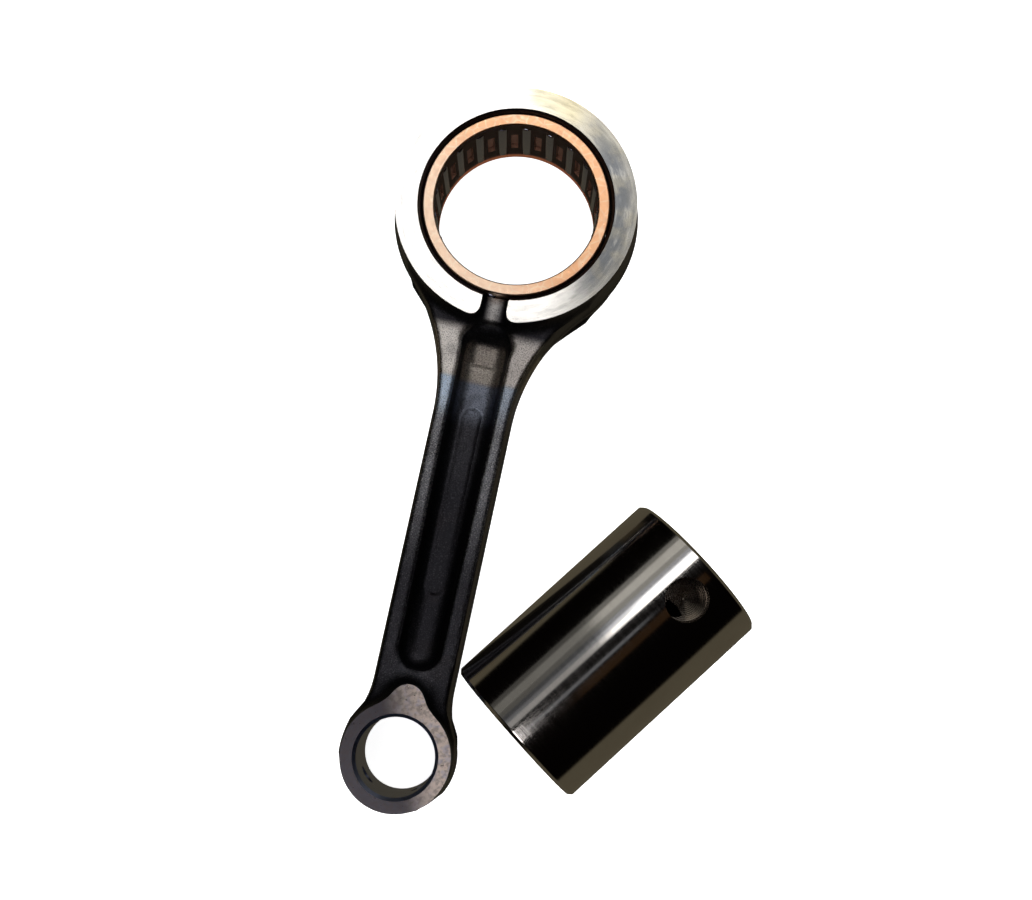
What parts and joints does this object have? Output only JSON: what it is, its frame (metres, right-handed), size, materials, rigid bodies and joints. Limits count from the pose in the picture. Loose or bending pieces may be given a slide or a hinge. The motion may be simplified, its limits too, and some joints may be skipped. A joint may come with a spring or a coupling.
{
  "type": "connecting rod",
  "caption": "Forged I-beam connecting rod for a single-cylinder engine, with a caged needle bearing in its big end and its loose crank pin beside it.",
  "frame": {"origin": "centre of the big end, on the bearing's axis and the rod's mid-plane", "axes": "+Z along both bore axes, up as the rod lies flat on its big end face; -Y from the big end towards the small end; +X towards the side where the loose crank pin lies"},
  "size_m": [0.0922, 0.1557, 0.034],
  "materials": {
    "forged_steel": "dark forged and shot-blasted steel, bare bright metal on the machined faces and bores",
    "copper_plate": "copper-plated steel, bright on the side rims, browned inside",
    "roller_steel": "ground bearing steel",
    "pin_steel": "ground and polished hardened steel"
  },
  "bodies": {
    "rod": {"connecting_rod": "forged_steel"},
    "cage": {"bearing_cage": "copper_plate"},
    "pin": {"crank_pin": "pin_steel"},
    "roller_01": {"roller_01": "roller_steel"},
    "roller_02": {"roller_02": "roller_steel"},
    "roller_03": {"roller_03": "roller_steel"},
    "roller_04": {"roller_04": "roller_steel"},
    "roller_05": {"roller_05": "roller_steel"},
    "roller_06": {"roller_06": "roller_steel"},
    "roller_07": {"roller_07": "roller_steel"},
    "roller_08": {"roller_08": "roller_steel"},
    "roller_09": {"roller_09": "roller_steel"},
    "roller_10": {"roller_10": "roller_steel"},
    "roller_11": {"roller_11": "roller_steel"},
    "roller_12": {"roller_12": "roller_steel"},
    "roller_13": {"roller_13": "roller_steel"},
    "roller_14": {"roller_14": "roller_steel"},
    "roller_15": {"roller_15": "roller_steel"},
    "roller_16": {"roller_16": "roller_steel"},
    "roller_17": {"roller_17": "roller_steel"},
    "roller_18": {"roller_18": "roller_steel"},
    "roller_19": {"roller_19": "roller_steel"},
    "roller_20": {"roller_20": "roller_steel"},
    "roller_21": {"roller_21": "roller_steel"}
  },
  "joints": [
    {"name": "cage_spin", "type": "hinge", "parent": "rod", "child": "cage", "pos_m": [0, 0, 0], "axis": [0, 0, 1], "continuous": true},
    {"name": "pin_lift", "type": "slide", "parent": "rod", "child": "pin", "axis": [0, 0, 1], "range_m": [0, 0.08]},
    {"name": "roller_01_spin", "type": "hinge", "parent": "cage", "child": "roller_01", "pos_m": [-0.00148, 0.01845, 0], "axis": [0, 0, 1], "continuous": true},
    {"name": "roller_02_spin", "type": "hinge", "parent": "cage", "child": "roller_02", "pos_m": [-0.00686, 0.01719, 0], "axis": [0, 0, 1], "continuous": true},
    {"name": "roller_03_spin", "type": "hinge", "parent": "cage", "child": "roller_03", "pos_m": [-0.01162, 0.01441, 0], "axis": [0, 0, 1], "continuous": true},
    {"name": "roller_04_spin", "type": "hinge", "parent": "cage", "child": "roller_04", "pos_m": [-0.01535, 0.01034, 0], "axis": [0, 0, 1], "continuous": true},
    {"name": "roller_05_spin", "type": "hinge", "parent": "cage", "child": "roller_05", "pos_m": [-0.01772, 0.00536, 0], "axis": [0, 0, 1], "continuous": true},
    {"name": "roller_06_spin", "type": "hinge", "parent": "cage", "child": "roller_06", "pos_m": [-0.01851, -0.0001, 0], "axis": [0, 0, 1], "continuous": true},
    {"name": "roller_07_spin", "type": "hinge", "parent": "cage", "child": "roller_07", "pos_m": [-0.01766, -0.00555, 0], "axis": [0, 0, 1], "continuous": true},
    {"name": "roller_08_spin", "type": "hinge", "parent": "cage", "child": "roller_08", "pos_m": [-0.01524, -0.01051, 0], "axis": [0, 0, 1], "continuous": true},
    {"name": "roller_09_spin", "type": "hinge", "parent": "cage", "child": "roller_09", "pos_m": [-0.01146, -0.01453, 0], "axis": [0, 0, 1], "continuous": true},
    {"name": "roller_10_spin", "type": "hinge", "parent": "cage", "child": "roller_10", "pos_m": [-0.00667, -0.01727, 0], "axis": [0, 0, 1], "continuous": true},
    {"name": "roller_11_spin", "type": "hinge", "parent": "cage", "child": "roller_11", "pos_m": [-0.00128, -0.01847, 0], "axis": [0, 0, 1], "continuous": true},
    {"name": "roller_12_spin", "type": "hinge", "parent": "cage", "child": "roller_12", "pos_m": [0.00422, -0.01802, 0], "axis": [0, 0, 1], "continuous": true},
    {"name": "roller_13_spin", "type": "hinge", "parent": "cage", "child": "roller_13", "pos_m": [0.00934, -0.01598, 0], "axis": [0, 0, 1], "continuous": true},
    {"name": "roller_14_spin", "type": "hinge", "parent": "cage", "child": "roller_14", "pos_m": [0.01364, -0.01252, 0], "axis": [0, 0, 1], "continuous": true},
    {"name": "roller_15_spin", "type": "hinge", "parent": "cage", "child": "roller_15", "pos_m": [0.01672, -0.00794, 0], "axis": [0, 0, 1], "continuous": true},
    {"name": "roller_16_spin", "type": "hinge", "parent": "cage", "child": "roller_16", "pos_m": [0.01832, -0.00266, 0], "axis": [0, 0, 1], "continuous": true},
    {"name": "roller_17_spin", "type": "hinge", "parent": "cage", "child": "roller_17", "pos_m": [0.01829, 0.00286, 0], "axis": [0, 0, 1], "continuous": true},
    {"name": "roller_18_spin", "type": "hinge", "parent": "cage", "child": "roller_18", "pos_m": [0.01663, 0.00812, 0], "axis": [0, 0, 1], "continuous": true},
    {"name": "roller_19_spin", "type": "hinge", "parent": "cage", "child": "roller_19", "pos_m": [0.0135, 0.01266, 0], "axis": [0, 0, 1], "continuous": true},
    {"name": "roller_20_spin", "type": "hinge", "parent": "cage", "child": "roller_20", "pos_m": [0.00917, 0.01608, 0], "axis": [0, 0, 1], "continuous": true},
    {"name": "roller_21_spin", "type": "hinge", "parent": "cage", "child": "roller_21", "pos_m": [0.00402, 0.01807, 0], "axis": [0, 0, 1], "continuous": true}
  ],
  "couplings": [
    {"joint": "roller_01_spin", "follows": "cage_spin", "ratio": -13.347},
    {"joint": "roller_02_spin", "follows": "cage_spin", "ratio": -13.347},
    {"joint": "roller_03_spin", "follows": "cage_spin", "ratio": -13.347},
    {"joint": "roller_04_spin", "follows": "cage_spin", "ratio": -13.347},
    {"joint": "roller_05_spin", "follows": "cage_spin", "ratio": -13.347},
    {"joint": "roller_06_spin", "follows": "cage_spin", "ratio": -13.347},
    {"joint": "roller_07_spin", "follows": "cage_spin", "ratio": -13.347},
    {"joint": "roller_08_spin", "follows": "cage_spin", "ratio": -13.347},
    {"joint": "roller_09_spin", "follows": "cage_spin", "ratio": -13.347},
    {"joint": "roller_10_spin", "follows": "cage_spin", "ratio": -13.347},
    {"joint": "roller_11_spin", "follows": "cage_spin", "ratio": -13.347},
    {"joint": "roller_12_spin", "follows": "cage_spin", "ratio": -13.347},
    {"joint": "roller_13_spin", "follows": "cage_spin", "ratio": -13.347},
    {"joint": "roller_14_spin", "follows": "cage_spin", "ratio": -13.347},
    {"joint": "roller_15_spin", "follows": "cage_spin", "ratio": -13.347},
    {"joint": "roller_16_spin", "follows": "cage_spin", "ratio": -13.347},
    {"joint": "roller_17_spin", "follows": "cage_spin", "ratio": -13.347},
    {"joint": "roller_18_spin", "follows": "cage_spin", "ratio": -13.347},
    {"joint": "roller_19_spin", "follows": "cage_spin", "ratio": -13.347},
    {"joint": "roller_20_spin", "follows": "cage_spin", "ratio": -13.347},
    {"joint": "roller_21_spin", "follows": "cage_spin", "ratio": -13.347}
  ]
}
